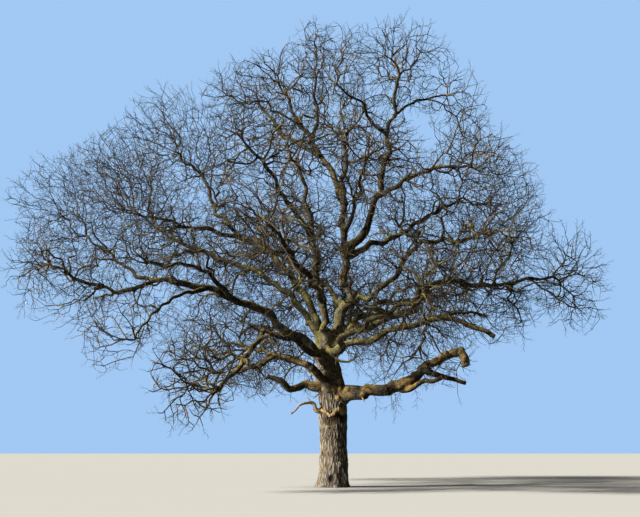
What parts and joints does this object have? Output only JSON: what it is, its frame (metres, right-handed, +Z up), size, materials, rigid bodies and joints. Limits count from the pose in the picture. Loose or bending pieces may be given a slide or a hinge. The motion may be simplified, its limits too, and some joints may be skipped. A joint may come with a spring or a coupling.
{
  "type": "bare oak tree",
  "caption": "Wide, open-grown oak tree in winter: stout flared trunk, low fork, crooked mossy limbs, sawn and broken low boughs, and a domed crown of leafless twigs.",
  "frame": {"origin": "middle of the flat cut under the trunk, at ground level", "axes": "+Z up along the foot of the trunk; +X to the right-hand side of the crown as seen from the front, along its widest spread; +Y away from the viewer, towards the back of the crown"},
  "size_m": [24.0374, 19.3561, 20.0646],
  "materials": {
    "trunk_bark": "grey-brown bark with deep upright fissures and low plates, matt",
    "limb_bark": "dark brown bark with yellow-green moss along the upper side, matt",
    "twigs": "smooth grey-brown twig bark, darker towards the tips, matt"
  },
  "bodies": {
    "root": {"trunk": "trunk_bark", "centre_leader": "limb_bark", "left_leader": "limb_bark", "left_riser": "limb_bark", "high_left": "limb_bark", "spire": "limb_bark", "high_left_outer": "limb_bark", "right_leader": "limb_bark", "loop_left": "limb_bark", "high_right": "limb_bark", "right_upper": "limb_bark", "right_shoulder": "limb_bark", "right_riser": "limb_bark", "right_long": "limb_bark", "right_rear": "limb_bark", "right_low": "limb_bark", "right_lowest": "limb_bark", "front_right": "limb_bark", "front_left": "limb_bark", "front_high": "limb_bark", "back_low": "limb_bark", "back_left": "limb_bark", "left_high": "limb_bark", "left_high_fork": "limb_bark", "left_middle": "limb_bark", "left_long": "limb_bark", "left_long_riser": "limb_bark", "left_mossy": "limb_bark", "left_drop": "limb_bark", "left_low": "limb_bark", "left_rear": "limb_bark", "left_lowest": "limb_bark", "centre_leader_twigs": "twigs", "left_leader_twigs": "twigs", "left_riser_twigs": "twigs", "high_left_twigs": "twigs", "spire_twigs": "twigs", "high_left_outer_twigs": "twigs", "right_leader_twigs": "twigs", "loop_left_twigs": "twigs", "high_right_twigs": "twigs", "right_upper_twigs": "twigs", "right_shoulder_twigs": "twigs", "right_riser_twigs": "twigs", "right_long_twigs": "twigs", "right_rear_twigs": "twigs", "front_right_twigs": "twigs", "front_left_twigs": "twigs", "front_high_twigs": "twigs", "back_low_twigs": "twigs", "back_left_twigs": "twigs", "left_high_twigs": "twigs", "left_high_fork_twigs": "twigs", "left_middle_twigs": "twigs", "left_long_twigs": "twigs", "left_long_riser_twigs": "twigs", "left_mossy_twigs": "twigs", "left_drop_twigs": "twigs", "left_low_twigs": "twigs", "left_rear_twigs": "twigs"}
  },
  "joints": []
}
